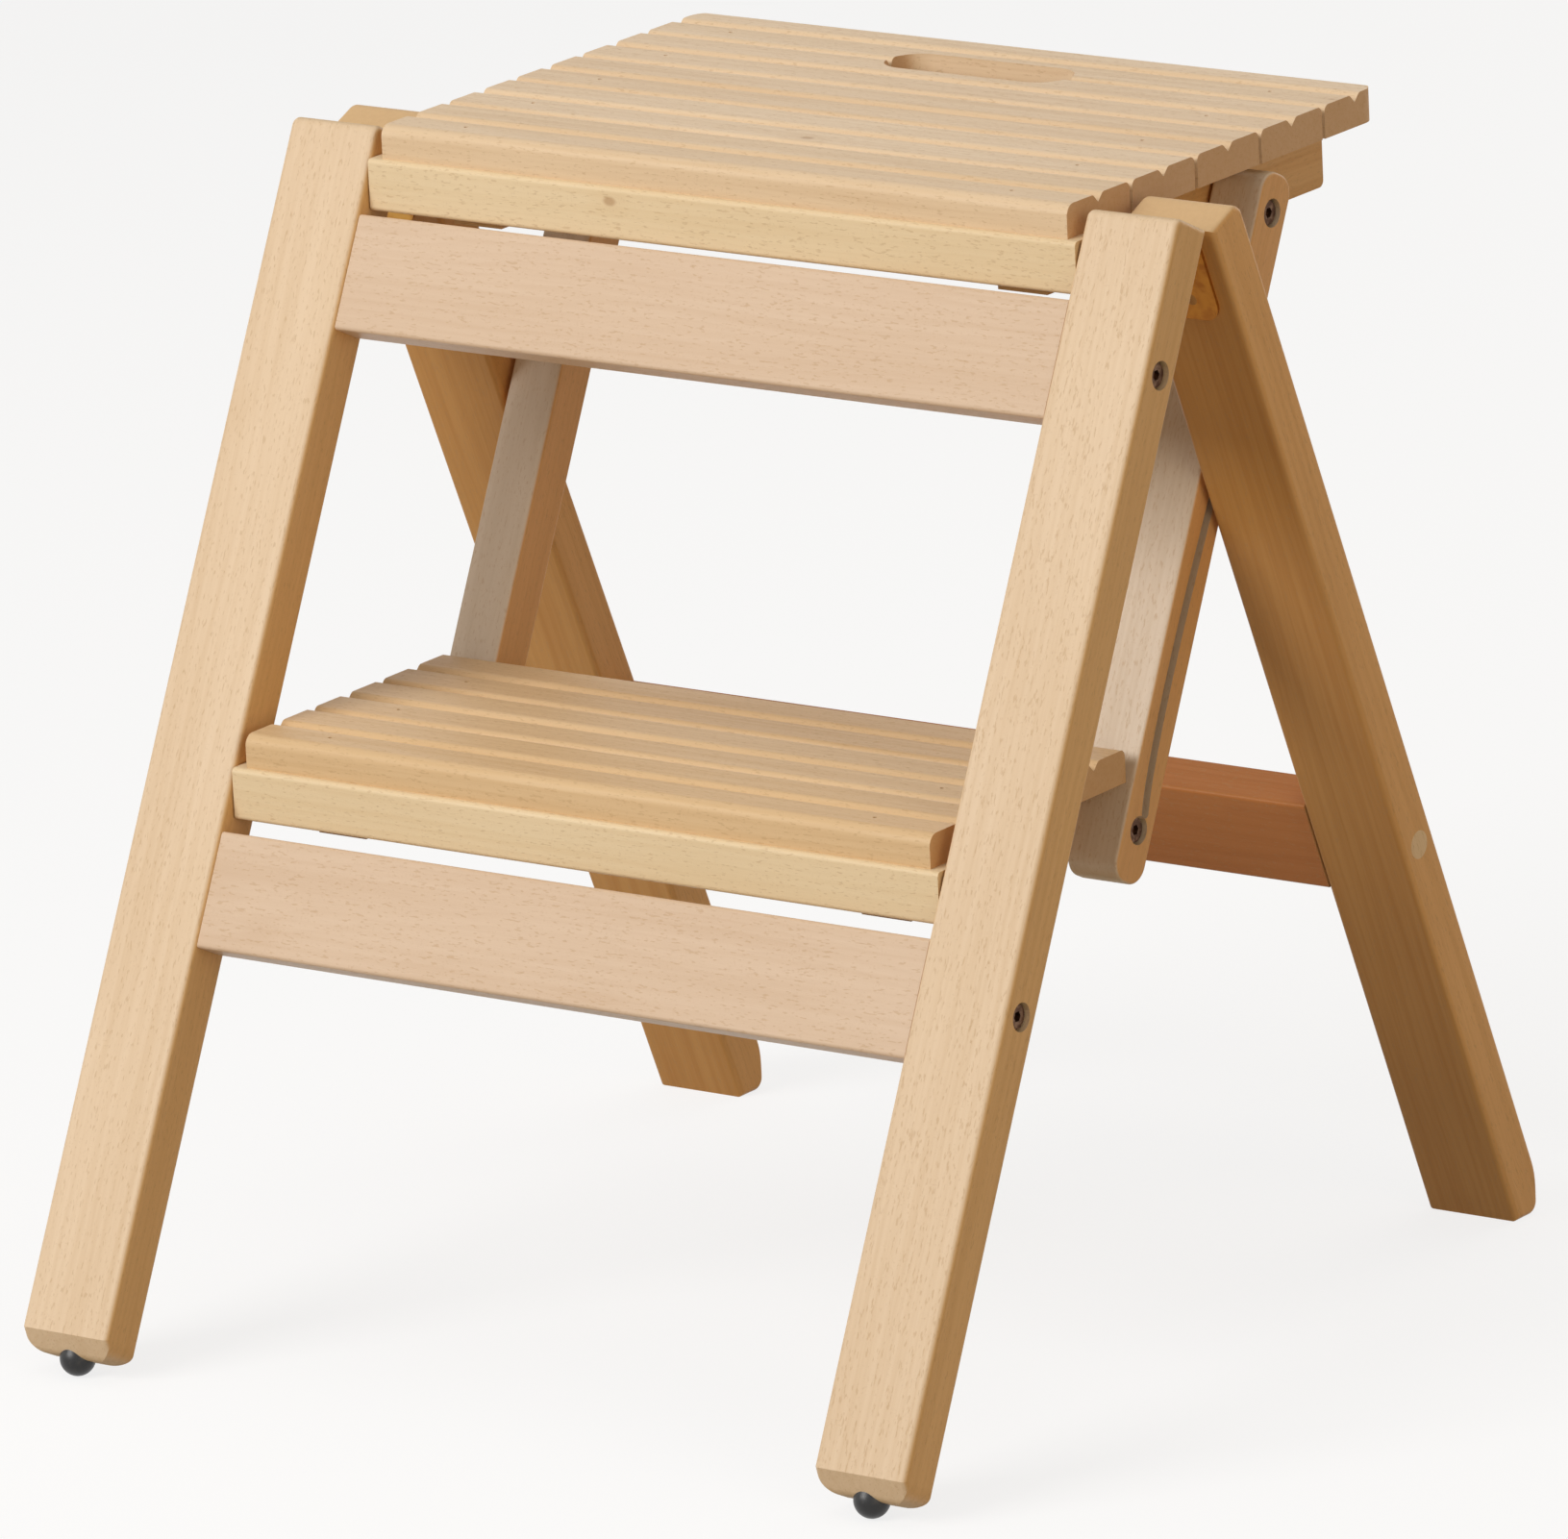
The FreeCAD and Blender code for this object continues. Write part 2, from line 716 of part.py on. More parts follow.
def build():
    """Every piece of the stool, by name."""
    pieces = {}
    pieces["front_leg_right"] = front_leg()
    pieces["toe_glide_right"] = glide()
    pieces["front_hinge_leaf_right"] = front_hinge_leaf()
    pieces["rear_leg_right"] = rear_leg()
    pieces["rear_hinge_leaf_right"] = rear_hinge_leaf()
    pieces["link_right"] = link()
    seat_widths = [board_width] * seat_full_boards + [seat_rear_board]
    step_widths = [board_width] * step_boards
    seat_holes = brad_holes(seat_front, seat_height, seat_widths)
    step_holes = brad_holes(step_front, step_top, step_widths)
    seat_batten_rear = seat_rear - batten_rear_inset
    step_batten_rear = step_link_pivot[0] + step_batten_past_bolt
    for name, front, rear, top, pivot, holes in (
        ("seat", seat_front, seat_batten_rear, seat_height, seat_link_pivot, seat_holes),
        ("step", step_front, step_batten_rear, step_top, step_link_pivot, step_holes),
    ):
        pieces[name + "_batten_right"] = batten(front, rear, top, pivot, holes)
    for name in list(pieces):
        pieces[name.replace("_right", "_left")] = mirror(pieces[name])

    front_bolts = []
    front_nuts = []
    into = scale(back_front, -1)
    for name, low, at in (
        ("upper", upper_rail_low, upper_rail_at),
        ("lower", lower_rail_low, lower_rail_at),
    ):
        face = front_nut_face(low)
        pieces[name + "_front_rail"] = rail(front_rail_corners(low), at, face, into, front_head_x)
        screws, nuts = bolts_and_nuts(at, face, into, front_head_x)
        front_bolts += screws
        front_nuts += nuts
    pieces["front_rail_bolts"] = Part.makeCompound(front_bolts)
    pieces["front_rail_barrel_nuts"] = Part.makeCompound(front_nuts)

    rear_face = rear_point(rear_rail_mid, hinge_gap + rear_rail_thick)
    into = scale(back_rear, -1)
    pieces["rear_rail"] = rail(rear_rail_corners(), rear_rail_at, rear_face, into, rear_head_x)
    screws, nuts = bolts_and_nuts(rear_rail_at, rear_face, into, rear_head_x)
    pieces["rear_rail_bolts"] = Part.makeCompound(screws)
    pieces["rear_rail_barrel_nuts"] = Part.makeCompound(nuts)
    pieces["rear_rail_plugs"] = both(rod(half - plug_length, half, rear_rail_at, sink_radius))

    pieces["seat_pivot_pins"] = both(pivot_pin(seat_pivot))
    pieces["step_pivot_pins"] = both(pivot_pin(step_pivot))
    pin_tip = link_outer - groove_depth + pin_tip_gap
    pieces["guide_pins"] = both(rod(pin_tip, inner + pin_in_leg, guide_pin, pin_radius))
    reach = leaf_width / 2
    pieces["hinge_pins"] = both(rod(hinge_x - reach, hinge_x + reach, hinge_axis, hinge_pin_radius))
    for name, screws in (("front", front_hinge_screws()), ("rear", rear_hinge_screws())):
        pieces[name + "_hinge_screws"] = Part.makeCompound(screws + [mirror(s) for s in screws])

    seat_planks = deck_boards(seat_front, seat_height, seat_widths)
    seat_planks[-1] = round_rear_corners(seat_planks[-1])
    for i in (-2, -1):
        seat_planks[i] = seat_planks[i].cut(hand_hole())
    for name, planks in (("seat", seat_planks), ("step", deck_boards(step_front, step_top, step_widths))):
        for i, plank in enumerate(planks):
            pieces[name + "_board_" + str(i + 1)] = plank
    pieces["seat_apron"] = apron(seat_front, seat_height, seat_pivot, seat_holes)
    pieces["step_apron"] = apron(step_front, step_top, step_pivot, step_holes)
    pieces["seat_brads"] = Part.makeCompound(brads(seat_front, seat_height, seat_widths))
    pieces["step_brads"] = Part.makeCompound(brads(step_front, step_top, step_widths))
    for name, at in (("seat", seat_link_pivot), ("step", step_link_pivot)):
        screw, washer, nut = link_fasteners(at)
        pieces[name + "_link_bolts"] = both(screw)
        pieces[name + "_link_washers"] = both(washer)
        pieces[name + "_link_nuts"] = both(nut)
    return pieces


def round_rear_corners(plank):
    """Rounds the two rear corners of the seat, in plan."""
    front = seat_rear - seat_rear_board
    low = seat_height - board_thick
    corners = [(-deck_half, front), (deck_half, front), (deck_half, seat_rear), (-deck_half, seat_rear)]
    plan = rounded_face(corners, [0, 0, seat_corner, seat_corner], lambda p: FreeCAD.Vector(p[0], p[1], low))
    return plank.common(plan.extrude(Z * board_thick))


def main():
    os.makedirs("parts", exist_ok=True)
    pieces = build()
    whole = Part.makeCompound(list(pieces.values()))
    box = whole.optimalBoundingBox()
    middle = (box.YMin + box.YMax) / 2
    for name, shape in pieces.items():
        shape.translate(Y * -middle)
        shape.exportStep("parts/" + name + ".step")
        if not shape.isValid():
            print("not valid:", name)
    print("size", round(box.XLength, 2), round(box.YLength, 2), round(box.ZLength, 2))
    print("lowest", round(box.ZMin, 3))
    places = {
        "seat_pivot": seat_pivot,
        "step_pivot": step_pivot,
        "seat_link_pivot": seat_link_pivot,
        "step_link_pivot": step_link_pivot,
        "hinge_axis": hinge_axis,
        "guide_pin": guide_pin,
    }
    for name, at in places.items():
        print(name, round(at[0] - middle, 4), round(at[1], 4))
    print("fold", round(math.degrees(fold), 4), "rear_ratio", round(rear_ratio, 6))
    print("hand_hole", round(hand_hole_y - middle, 3))
    print("seat", round(seat_front - middle, 3), round(seat_rear - middle, 3))
    print("step", round(step_front - middle, 3), round(step_top, 3), "board", round(board_width, 3))
    print("rear_foot", round(rear_at_height(0, hinge_gap)[0] - middle, 3))


main()
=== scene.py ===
import json
import math

import bpy
from mathutils import Matrix, Vector

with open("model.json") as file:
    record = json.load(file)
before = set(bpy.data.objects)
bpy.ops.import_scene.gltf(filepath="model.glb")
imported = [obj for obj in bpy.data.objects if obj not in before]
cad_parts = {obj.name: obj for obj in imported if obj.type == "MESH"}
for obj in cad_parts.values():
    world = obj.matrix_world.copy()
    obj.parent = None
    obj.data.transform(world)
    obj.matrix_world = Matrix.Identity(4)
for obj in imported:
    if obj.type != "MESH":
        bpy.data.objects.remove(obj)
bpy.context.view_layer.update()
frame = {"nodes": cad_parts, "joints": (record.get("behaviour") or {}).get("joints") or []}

# The view. The stool is seen from the front right, a little above the seat, through a long lens.
# The camera is placed by the seat's pivot: how far aside, above and ahead of the lens it lies.
seat_pivot = Vector(next(j["pos_m"] for j in frame["joints"] if j["name"] == "seat_fold"))
view_turn = math.radians(35.78)
view_height = math.radians(15.645)
view_roll = math.radians(-2.76)
pivot_aside = -0.0216
pivot_above = 0.22379
pivot_ahead = 5.85798
lens_length = 331.8
film_width = 36.0
view_reach = 100.0
backward = Vector((
    math.sin(view_turn) * math.cos(view_height),
    -math.cos(view_turn) * math.cos(view_height),
    math.sin(view_height),
))
level_right = Vector((math.cos(view_turn), math.sin(view_turn), 0))
level_up = backward.cross(level_right)
right = level_right * math.cos(view_roll) + level_up * math.sin(view_roll)
upward = level_up * math.cos(view_roll) - level_right * math.sin(view_roll)
camera = bpy.data.objects.new("camera", bpy.data.cameras.new("camera"))
camera.data.lens = lens_length
camera.data.sensor_width = film_width
camera.data.clip_end = view_reach
place = seat_pivot - right * pivot_aside - upward * pivot_above + backward * pivot_ahead
camera.matrix_world = Matrix.Translation(place) @ Matrix((right, upward, backward)).transposed().to_4x4()
bpy.context.scene.collection.objects.link(camera)
bpy.context.scene.camera = camera


# The studio. A large soft lamp stands at the front left, another hangs overhead, and two weaker
# ones light the right side and the back. The floor shows near white and keeps a soft shadow.
class Wire:
    """A shader socket that sums and products can be written with."""

    def __init__(self, tree, socket=None):
        self.tree = tree
        self.socket = socket

    def node(self, kind, settings, inputs, output=0):
        """Adds a node of a kind, with its settings and then the values or wires of its sockets."""
        made = self.tree.nodes.new(kind)
        for name, value in settings.items():
            setattr(made, name, value)
        for name, value in inputs.items():
            if isinstance(value, Wire):
                self.tree.links.new(value.socket, made.inputs[name])
            else:
                made.inputs[name].default_value = value
        return Wire(self.tree, made.outputs[output] if len(made.outputs) else None)

    def beside(self, output):
        """Another output of the node that this wire comes from."""
        return Wire(self.tree, self.socket.node.outputs[output])

    def maths(self, operation, first, second=0.0):
        return self.node("ShaderNodeMath", {"operation": operation}, {0: first, 1: second})

    def __add__(self, other):
        return self.maths("ADD", self, other)

    def __radd__(self, other):
        return self.maths("ADD", other, self)

    def __sub__(self, other):
        return self.maths("SUBTRACT", self, other)

    def __rsub__(self, other):
        return self.maths("SUBTRACT", other, self)

    def __mul__(self, other):
        return self.maths("MULTIPLY", self, other)

    def __rmul__(self, other):
        return self.maths("MULTIPLY", other, self)

    def __truediv__(self, other):
        return self.maths("DIVIDE", self, other)


def rise(wire, low, high):
    """0 below low, 1 above high, and a smooth rise between them."""
    limits = {"Value": wire, "From Min": low, "From Max": high}
    return wire.node("ShaderNodeMapRange", {"interpolation_type": "SMOOTHSTEP"}, limits)


def tint(share, plain, other):
    """The plain colour where share is 0 and the other where it is 1."""
    return share.node("ShaderNodeMix", {"data_type": "RGBA"}, {0: share, 6: plain, 7: other}, 2)


def shown_rays(start):
    """1 for what the lens sees by itself or in a polished surface, and 0 for soft light."""
    seen = start.node("ShaderNodeLightPath", {}, {}, "Is Camera Ray")
    mirrored = seen.maths("MAXIMUM", seen.beside("Is Glossy Ray"), seen.beside("Is Transmission Ray"))
    return seen.maths("MAXIMUM", seen, mirrored)


def paint(name):
    """A new material and the wire that its nodes start from."""
    material = bpy.data.materials.new(name)
    material.use_nodes = True
    material.node_tree.nodes.clear()
    return material, Wire(material.node_tree)


def lamp(name, place, aim, size, power, colour):
    """A square soft lamp that faces the aim."""
    light = bpy.data.lights.new(name, "AREA")
    light.size = size
    light.energy = power
    light.color = colour
    made = bpy.data.objects.new(name, light)
    made.location = place
    made.rotation_euler = (Vector(aim) - Vector(place)).to_track_quat("-Z", "Y").to_euler()
    bpy.context.scene.collection.objects.link(made)


def studio_world(soft_colour, soft_strength):
    """The lens sees plain white, and everything else is lit by a weak soft colour."""
    world = bpy.data.worlds.new("studio")
    world.use_nodes = True
    world.node_tree.nodes.clear()
    start = Wire(world.node_tree)
    soft = start.node("ShaderNodeBackground", {}, {"Color": (*soft_colour, 1), "Strength": soft_strength})
    white = start.node("ShaderNodeBackground", {}, {"Color": (1, 1, 1, 1), "Strength": 1.0})
    sky = start.node("ShaderNodeMixShader", {}, {0: shown_rays(start), 1: soft, 2: white})
    start.node("ShaderNodeOutputWorld", {}, {"Surface": sky})
    bpy.context.scene.world = world


def studio_floor(half_size, soft_colour, seen_colour, whitening):
    """A flat sheet at floor level. Whitening is how far the lens sees it as plain white."""
    mesh = bpy.data.meshes.new("floor")
    corners = [(-half_size, -half_size, 0), (half_size, -half_size, 0)]
    corners += [(half_size, half_size, 0), (-half_size, half_size, 0)]
    mesh.from_pydata(corners, [], [(0, 1, 2, 3)])
    floor = bpy.data.objects.new("floor", mesh)
    bpy.context.scene.collection.objects.link(floor)
    material, start = paint("floor_sheet")
    shown = shown_rays(start)
    colour = tint(shown, (*soft_colour, 1), (*seen_colour, 1))
    matt = start.node("ShaderNodeBsdfDiffuse", {}, {"Color": colour})
    glow = start.node("ShaderNodeEmission", {}, {"Color": (1, 1, 1, 1), "Strength": 1.0})
    sheet = start.node("ShaderNodeMixShader", {}, {0: shown * whitening, 1: matt, 2: glow})
    start.node("ShaderNodeOutputMaterial", {}, {"Surface": sheet})
    mesh.materials.append(material)


bpy.context.scene.view_settings.view_transform = "Standard"
middle = (0.0, 0.0, 0.24)
studio_world(soft_colour=(1.0, 0.93, 0.84), soft_strength=0.25)
studio_floor(half_size=30.0, soft_colour=(0.46, 0.41, 0.34), seen_colour=(0.98, 0.98, 0.98), whitening=0.8)
lamp("key", place=(-1.5, -3.2, 2.3), aim=middle, size=2.2, power=108.0, colour=(1.0, 0.98, 0.96))
lamp("overhead", place=(-0.2, 0.1, 3.3), aim=middle, size=2.4, power=18.0, colour=(1.0, 0.98, 0.95))
lamp("fill", place=(3.2, -1.3, 1.3), aim=middle, size=2.0, power=24.0, colour=(1.0, 0.82, 0.58))
lamp("back", place=(0.6, 3.3, 1.2), aim=middle, size=1.8, power=18.0, colour=(1.0, 0.92, 0.82))


# The front legs. Two beech bars lean back, each with a square-cut top and a bevelled toe.
# They are sawn along the grain, eased on every edge and finished with clear satin lacquer.
mm_per_metre = (1000, 1000, 1000)
ring_width = 3.1
heart_wander = 22.0
beech_pale = (0.785, 0.61, 0.425)
beech_deep = (0.67, 0.485, 0.30)
beech_fleck = (0.46, 0.28, 0.13)
beech_knot = (0.40, 0.21, 0.09)
# A painted highlight: the yellower tint given to eased edges and the vees' flanks.
painted_edge_highlight = (0.76, 0.52, 0.26)
# Painted shade for the faces that look left and right: warmer and darker than the pale beech.
beech_shaded_side = (0.74, 0.45, 0.19)
beech_shaded_side_darker = (0.84, 0.80, 0.74)
beech_end = (0.60, 0.42, 0.22)


def times(colour, factor):
    """A colour with each of its channels multiplied by its own factor."""
    return tuple(c * f for c, f in zip(colour, factor))


def satin_beech(start, colour, rough, height):
    """The lacquered surface, with the grain's relief."""
    relief = start.node("ShaderNodeBump", {}, {"Strength": 0.28, "Distance": 0.0002, "Height": height})
    sockets = {"Base Color": colour, "Roughness": rough, "Normal": relief, "IOR": 1.4,
               "Specular IOR Level": 0.3, "Coat Weight": 0.03, "Coat Roughness": 0.4}
    shader = start.node("ShaderNodeBsdfPrincipled", {}, sockets)
    start.node("ShaderNodeOutputMaterial", {}, {"Surface": shader})


def beech(name, grain, seed, pale=beech_pale, deep=beech_deep, side=None, end=beech_end, streaks=1.0):
    """Solid beech, cut from a log whose heart lies beside the piece, with the grain along a direction.

    It is worked out in millimetres through the whole block, so board ends show the rings that
    the faces begin. The side colour is painted shade, a warmer and darker colour for the faces
    that look left and right.
    """
    material, start = paint(name)
    where = start.node("ShaderNodeTexCoord", {}, {}, "Object")
    turn = Vector(grain).normalized().rotation_difference(Vector((0, 0, 1))).to_euler()
    heart = (55 + 31 * (seed % 5), 70 - 47 * (seed % 4), 613.0 * seed)
    block = start.node("ShaderNodeMapping", {}, {"Vector": where, "Location": heart,
                                                 "Rotation": turn, "Scale": mm_per_metre})
    facing = start.node("ShaderNodeMapping", {"vector_type": "NORMAL"},
                        {"Vector": where.beside("Normal"), "Rotation": turn})

    def stretched(across, along):
        """The block's place, counted in cells that are so wide and so long."""
        scale = (1 / across, 1 / across, 1 / along)
        return start.node("ShaderNodeVectorMath", {"operation": "MULTIPLY"}, {0: block, 1: scale})

    def mottle(across, along, detail=2.0, output=0):
        """Cloudy noise in cells of that size."""
        cells = {"Vector": stretched(across, along), "Scale": 1.0, "Detail": detail, "Roughness": 0.55}
        return start.node("ShaderNodeTexNoise", {}, cells, output)

    wander = start.node("ShaderNodeVectorMath", {"operation": "SCALE"},
                        {0: mottle(40, 260, output=1), "Scale": heart_wander})
    wavy = start.node("ShaderNodeVectorMath", {"operation": "ADD"}, {0: block, 1: wander})
    flat = start.node("ShaderNodeVectorMath", {"operation": "MULTIPLY"}, {0: wavy, 1: (1, 1, 0)})
    radius = start.node("ShaderNodeVectorMath", {"operation": "LENGTH"}, {0: flat}, 1)
    growth = start.maths("FRACT", radius / ring_width + mottle(6, 90) * 0.9)
    late = rise(growth, 0.35, 0.90) * (1 - rise(growth, 0.92, 1.0))
    streak = rise(mottle(2.6, 150, 3.0), 0.34, 0.70)
    drift = rise(mottle(28, 190), 0.35, 0.68)
    fleck = rise(mottle(0.85, 3.6, 1.0), 0.60, 0.70)
    fine = mottle(0.45, 5.0, 2.0)
    rays = rise(mottle(1.5, 1.1, 1.0), 0.60, 0.72) * rise(mottle(9, 14), 0.45, 0.60)

    spots = {"Vector": stretched(60, 95), "Scale": 1.0}
    near = start.node("ShaderNodeTexVoronoi", {}, spots, "Distance")
    picked = start.node("ShaderNodeSeparateColor", {}, {0: near.beside("Color")}, 0)
    few = rise(picked, 0.66, 0.67)
    knot = (1 - rise(near, 0.018, 0.045)) * few
    ring_round_knot = (1 - rise(near, 0.05, 0.16)) * few

    way_x = start.node("ShaderNodeSeparateXYZ", {}, {0: facing}, 0)
    sideways = start.maths("ABSOLUTE", way_x)
    frontways = start.maths("ABSOLUTE", way_x.beside(1))
    endways = start.maths("ABSOLUTE", way_x.beside(2))
    flattest = start.maths("MAXIMUM", start.maths("MAXIMUM", sideways, frontways), endways)
    eased = 1 - rise(flattest, 0.80, 0.985)
    sawn_end = rise(endways, 0.55, 0.90)

    depth = late * 0.14 + streak * 0.30 * streaks + drift * 0.26 + ring_round_knot * 0.22
    colour = tint(depth, (*pale, 1), (*deep, 1))
    # Painted shade: the faces that look left and right take the warmer, darker side colour.
    if side is not None:
        side_colour = tint(depth, (*side, 1), (*times(side, beech_shaded_side_darker), 1))
        colour = tint(rise(sideways, 0.45, 0.95), colour, side_colour)
    colour = tint(fleck * 0.30 + rays * 0.14, colour, (*beech_fleck, 1))
    colour = tint(knot * 0.55, colour, (*beech_knot, 1))
    # Painted highlight: eased edges and the flanks of the vees are tinted yellower.
    colour = tint(eased * 0.06, colour, (*painted_edge_highlight, 1))
    colour = tint(sawn_end * 0.60, colour, (*end, 1))
    rough = 0.44 + fleck * 0.12 + streak * 0.06 + sawn_end * 0.12 - eased * 0.08
    height = fine * 0.5 + streak * 0.25 - fleck * 0.6 - late * 0.15 - knot * 0.5
    satin_beech(start, colour, rough, height)
    return material


def finish_node(node, material):
    """Gives a carried piece its material."""
    mesh = frame["nodes"][node].data
    mesh.materials.clear()
    mesh.materials.append(material)


front_lean = math.radians(26.3)
front_grain = (0, math.sin(front_lean), math.cos(front_lean))
# Their left and right faces take the side colour, which is painted shade.
for seed, side_name in enumerate(("left", "right")):
    node = "front_leg_" + side_name
    finish_node(node, beech(node + "_beech", front_grain, seed + 1, side=beech_shaded_side))


# The two front rails. Flat beech boards between the legs, a little pinker than the legs,
# bored at both ends for the bolts that pull them tight.
rail_pink = (0.70, 0.53, 0.385)
rail_pink_deep = (0.61, 0.43, 0.285)
for seed, node in enumerate(("upper_front_rail", "lower_front_rail")):
    finish_node(node, beech(node + "_beech", (1, 0, 0), seed + 11, pale=rail_pink,
                            deep=rail_pink_deep, streaks=0.7))


# The bolts, nuts, washers, pins and brads. Turned or drawn steel, dark brown on the bolts and
# brighter on what lies inside, both worn a little brighter in patches.
def block_at(start, shift):
    """The place in the block in millimetres, shifted so that like pieces differ."""
    where = start.node("ShaderNodeTexCoord", {}, {}, "Object")
    return start.node("ShaderNodeMapping", {}, {"Vector": where, "Location": (shift, 0, 0),
                                                "Scale": mm_per_metre})


def metal(start, colour, rough, relief, height):
    """Bare or plated metal, with a slight relief of the given strength."""
    bump = start.node("ShaderNodeBump", {}, {"Strength": relief, "Distance": 0.0001, "Height": height})
    sockets = {"Base Color": colour, "Roughness": rough, "Metallic": 1.0, "Normal": bump}
    shader = start.node("ShaderNodeBsdfPrincipled", {}, sockets)
    start.node("ShaderNodeOutputMaterial", {}, {"Surface": shader})


def plated_steel(name, colour, worn, shift):
    """Plated steel, brighter where the plating is worn."""
    material, start = paint(name)
    block = block_at(start, shift)
    patches = start.node("ShaderNodeTexNoise", {}, {"Vector": block, "Scale": 0.5, "Detail": 3.0})
    specks = start.node("ShaderNodeTexNoise", {}, {"Vector": block, "Scale": 4.0, "Detail": 2.0})
    wear = rise(patches, 0.42, 0.66)
    shade = tint(wear, (*colour, 1), (*worn, 1))
    metal(start, shade, 0.44 + specks * 0.16 - wear * 0.08, 0.15, specks)
    return material


brown_steel = plated_steel("dark_brown_steel", (0.10, 0.05, 0.03), (0.20, 0.115, 0.07), 3.0)
bright_steel = plated_steel("bright_plated_steel", (0.50, 0.48, 0.45), (0.68, 0.66, 0.62), 5.0)
brad_steel = plated_steel("brad_steel", (0.26, 0.19, 0.14), (0.40, 0.31, 0.24), 7.0)
for node in ("front_rail_bolts", "rear_rail_bolts", "seat_link_bolts", "step_link_bolts"):
    finish_node(node, brown_steel)
for node in ("front_rail_barrel_nuts", "rear_rail_barrel_nuts", "seat_link_nuts", "step_link_nuts",
             "seat_link_washers", "step_link_washers", "seat_pivot_pins", "step_pivot_pins", "guide_pins"):
    finish_node(node, bright_steel)
for node in ("seat_brads", "step_brads"):
    finish_node(node, brad_steel)


# The glides under the front toes. Black rubber domes, moulded with a fine matt skin
# and pushed into the end of each leg by a stem.
rubber_black = (0.010, 0.010, 0.011)
rubber_dusty = (0.030, 0.029, 0.028)


def moulded_rubber(name):
    """Black rubber with a fine skin and a little dust."""
    material, start = paint(name)
    where = start.node("ShaderNodeTexCoord", {}, {}, "Object")
    skin = start.node("ShaderNodeTexNoise", {}, {"Vector": where, "Scale": 2600.0, "Detail": 2.0})
    dust = start.node("ShaderNodeTexNoise", {}, {"Vector": where, "Scale": 320.0, "Detail": 3.0})
    dusty = rise(dust, 0.5, 0.75)
    colour = tint(dusty, (*rubber_black, 1), (*rubber_dusty, 1))
    bump = start.node("ShaderNodeBump", {}, {"Strength": 0.2, "Distance": 0.0001, "Height": skin})
    sockets = {"Base Color": colour, "Roughness": 0.34 + dusty * 0.2, "Normal": bump}
    shader = start.node("ShaderNodeBsdfPrincipled", {}, sockets)
    start.node("ShaderNodeOutputMaterial", {}, {"Surface": shader})
    return material


rubber = moulded_rubber("black_rubber_skin")
for side_name in ("left", "right"):
    finish_node("toe_glide_" + side_name, rubber)


# The leg hinges. Two stamped brass leaves with rounded ends on a brass pin,
# held to each leg by countersunk screws.
def brass(name, colour, tarnish, shift):
    """Brushed brass, duller and darker where it is tarnished."""
    material, start = paint(name)
    block = block_at(start, shift)
    brushed = start.node("ShaderNodeVectorMath", {"operation": "MULTIPLY"}, {0: block, 1: (0.15, 4.0, 4.0)})
    lines = start.node("ShaderNodeTexNoise", {}, {"Vector": brushed, "Scale": 1.0, "Detail": 2.0})
    patches = start.node("ShaderNodeTexNoise", {}, {"Vector": block, "Scale": 0.16, "Detail": 4.0})
    dull = rise(patches, 0.40, 0.66)
    shade = tint(dull, (*colour, 1), (*tarnish, 1))
    metal(start, shade, 0.26 + lines * 0.14 + dull * 0.16, 0.12, lines)
    return material


# Painted shade: the leaves' brass is darkened and reddened for the shade between the legs.
shaded_leaf_brass = brass("shaded_leaf_brass", (0.52, 0.26, 0.055), (0.43, 0.18, 0.035), 2.0)
screw_brass = brass("screw_brass", (0.36, 0.20, 0.07), (0.24, 0.12, 0.04), 6.0)
for node in ("front_hinge_leaf_left", "front_hinge_leaf_right", "rear_hinge_leaf_left",
             "rear_hinge_leaf_right", "hinge_pins"):
    finish_node(node, shaded_leaf_brass)
for node in ("front_hinge_screws", "rear_hinge_screws"):
    finish_node(node, screw_brass)


# The rear frame. Two beech legs lean forward to meet the front legs, with level feet and upright
# heels, and a rail joins them; face-grain plugs hide its bolts. The legs and rail carry painted
# shade, browner and redder, so the plugs in plain beech show lighter.
rear_lean = math.radians(22.9)
rear_grain = (0, -math.sin(rear_lean), math.cos(rear_lean))
rear_leg_end = (0.76, 0.57, 0.34)
for seed, side_name in enumerate(("left", "right")):
    node = "rear_leg_" + side_name
    # Painted shade: the rear legs' pale, deep and side colours are darkened and warmed.
    finish_node(node, beech(node + "_beech", rear_grain, seed + 21, pale=(0.58, 0.31, 0.10),
                            deep=(0.47, 0.22, 0.06), side=(0.74, 0.41, 0.15), end=rear_leg_end,
                            streaks=1.3))
# Painted shade: the rear rail's colours are darkened and reddened for the shade under the seat.
finish_node("rear_rail", beech("rear_rail_beech", (1, 0, 0), 27, pale=(0.49, 0.19, 0.053),
                               deep=(0.38, 0.125, 0.03), streaks=0.8))
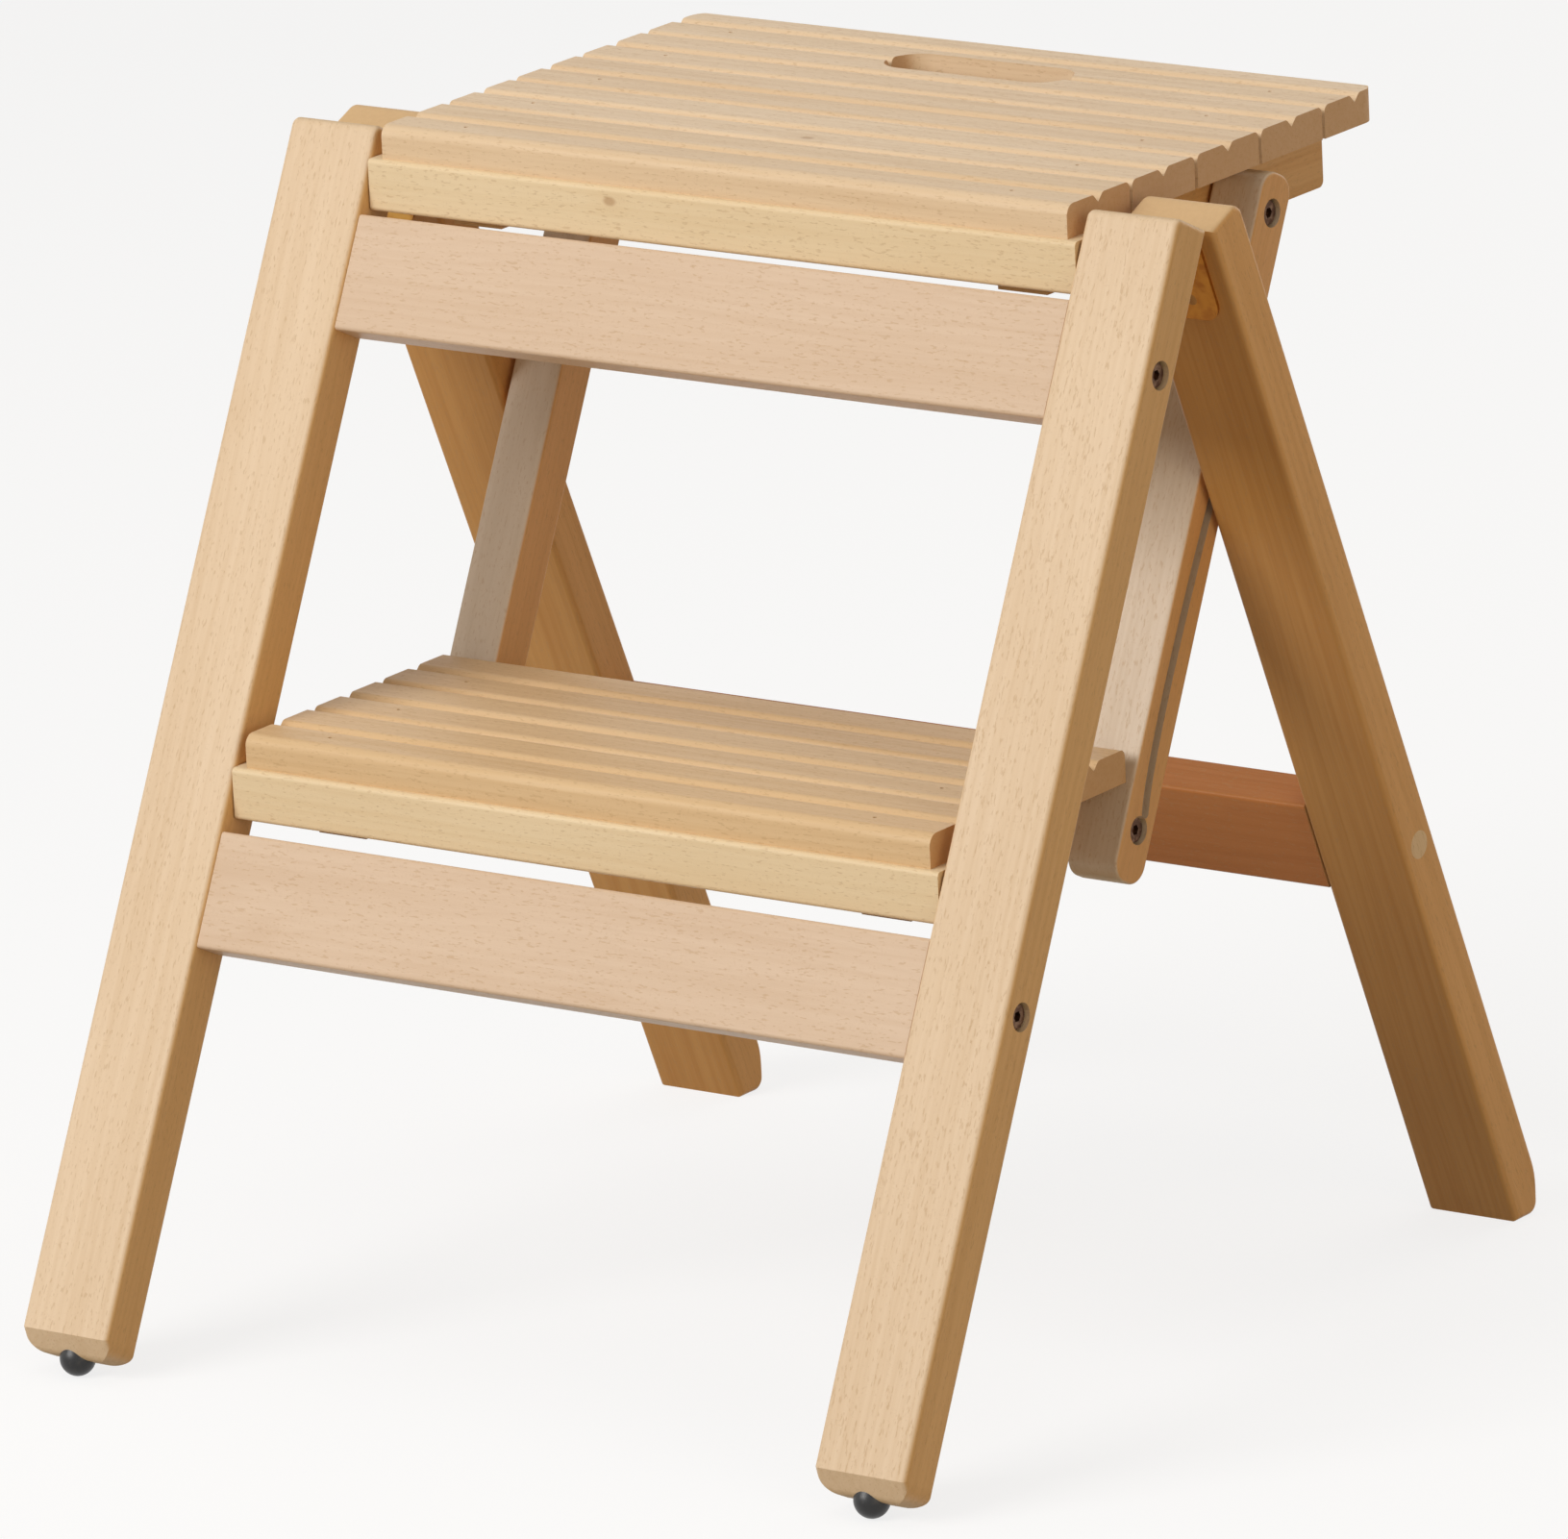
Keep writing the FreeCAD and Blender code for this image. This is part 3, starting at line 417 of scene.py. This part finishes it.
finish_node("rear_rail_plugs", beech("plug_beech", rear_grain, 29, pale=(0.76, 0.55, 0.32),
                                     deep=(0.66, 0.44, 0.22)))


# The two links. Slim beech uprights that run beside the legs from the seat to the step,
# each with a milled groove for the guide pin and rounded ends.
for seed, side_name in enumerate(("left", "right")):
    node = "link_" + side_name
    # The links' left and right faces take the side colour, which is painted shade.
    finish_node(node, beech(node + "_beech", front_grain, seed + 33, pale=(0.71, 0.60, 0.48),
                            deep=(0.60, 0.48, 0.35), side=(0.74, 0.41, 0.165)))


# The seat. Five boards, each with a vee along its middle, lie on an apron and two battens.
# The grain runs across the stool in the boards and the apron, and front to back in the battens.
board_tones = ((0.79, 0.62, 0.43), (0.77, 0.595, 0.40), (0.80, 0.63, 0.44), (0.775, 0.60, 0.41),
               (0.785, 0.61, 0.42))
board_darker = (0.86, 0.80, 0.72)
board_end = (0.56, 0.29, 0.115)


def deck(name, boards, first_seed, board_shade_tint, shaded_batten_pale, shaded_batten_deep):
    """Finishes the boards, apron and battens of the seat or the step."""
    for i in range(boards):
        node = name + "_board_" + str(i + 1)
        # The shade tint is painted shade: near plain for the seat, warmer and darker for the step.
        pale = times(board_tones[(i + first_seed) % len(board_tones)], board_shade_tint)
        finish_node(node, beech(node + "_beech", (1, 0, 0), first_seed + i, pale=pale,
                                deep=times(pale, board_darker), end=board_end, streaks=1.2))
    finish_node(name + "_apron", beech(name + "_apron_beech", (1, 0, 0), first_seed + 7,
                                       pale=(0.83, 0.67, 0.44), deep=(0.75, 0.57, 0.34)))
    for i, side_name in enumerate(("left", "right")):
        node = name + "_batten_" + side_name
        # The battens' colours are darkened and warmed: painted shade, for the shade under the boards.
        finish_node(node, beech(node + "_beech", (0, 1, 0), first_seed + 8 + i,
                                pale=shaded_batten_pale, deep=shaded_batten_deep))


# The seat's battens are painted darker and warmer than its boards: painted shade.
deck("seat", 5, 41, board_shade_tint=(1.02, 1.01, 1.0),
     shaded_batten_pale=(0.70, 0.42, 0.17), shaded_batten_deep=(0.55, 0.29, 0.10))


# The step. Three boards like those of the seat, on an apron and two battens of their own.
# Its boards carry painted shade from the seat above, a warmer and darker tint than the seat's,
# and its battens carry the deepest painted shade on the stool.
deck("step", 3, 61, board_shade_tint=(0.97, 0.90, 0.77),
     shaded_batten_pale=(0.44, 0.20, 0.065), shaded_batten_deep=(0.33, 0.135, 0.035))
